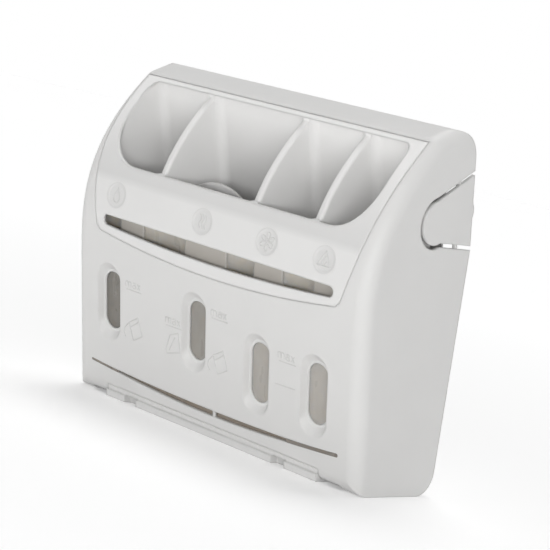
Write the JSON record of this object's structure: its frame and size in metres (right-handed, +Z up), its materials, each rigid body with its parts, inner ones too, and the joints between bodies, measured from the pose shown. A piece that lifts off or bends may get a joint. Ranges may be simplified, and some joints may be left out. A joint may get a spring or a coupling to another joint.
{
  "type": "detergent dispenser drawer",
  "caption": "Wedge-shaped detergent dispenser of a top-loading washer: open pockets over a tank with level windows, hung by a hinge rail and let go by sprung side tabs.",
  "frame": {"origin": "under the middle of the whole, on the surface that the base stands on", "axes": "X along the panel to the right, Y to the rear, Z up"},
  "size_m": [0.256, 0.1173, 0.2326],
  "materials": {
    "shell_plastic": "pale grey moulded plastic, fine satin",
    "hopper_plastic": "pale grey moulded plastic, fine satin",
    "tab_plastic": "pale grey moulded plastic, fine satin",
    "rail_plastic": "pale grey moulded plastic, fine satin",
    "cover_plastic": "pale grey moulded plastic, fine satin",
    "tank_plastic": "milky grey-beige moulded plastic",
    "cap_plastic": "pale grey moulded plastic",
    "partition_plastic": "milky beige moulded plastic"
  },
  "bodies": {
    "dispenser": {"front_shell": "shell_plastic", "hopper": "hopper_plastic", "tank": "tank_plastic", "softener_siphon_cap": "cap_plastic", "bleach_siphon_cap": "cap_plastic", "wash_partition": "partition_plastic", "hinge_rail": "rail_plastic", "rear_cover": "cover_plastic"},
    "tab_left": {"release_tab_left": "tab_plastic"},
    "tab_right": {"release_tab_right": "tab_plastic"}
  },
  "joints": [
    {"name": "release_left", "type": "hinge", "parent": "dispenser", "child": "tab_left", "pos_m": [-0.125, 0.01584, 0.18244], "axis": [0, -0.309, 0.9511], "range_deg": [0, 8], "stiffness_Nm_per_rad": 0.06},
    {"name": "release_right", "type": "hinge", "parent": "dispenser", "child": "tab_right", "pos_m": [0.125, 0.01584, 0.18244], "axis": [0, 0.309, -0.9511], "range_deg": [0, 8], "stiffness_Nm_per_rad": 0.06}
  ]
}
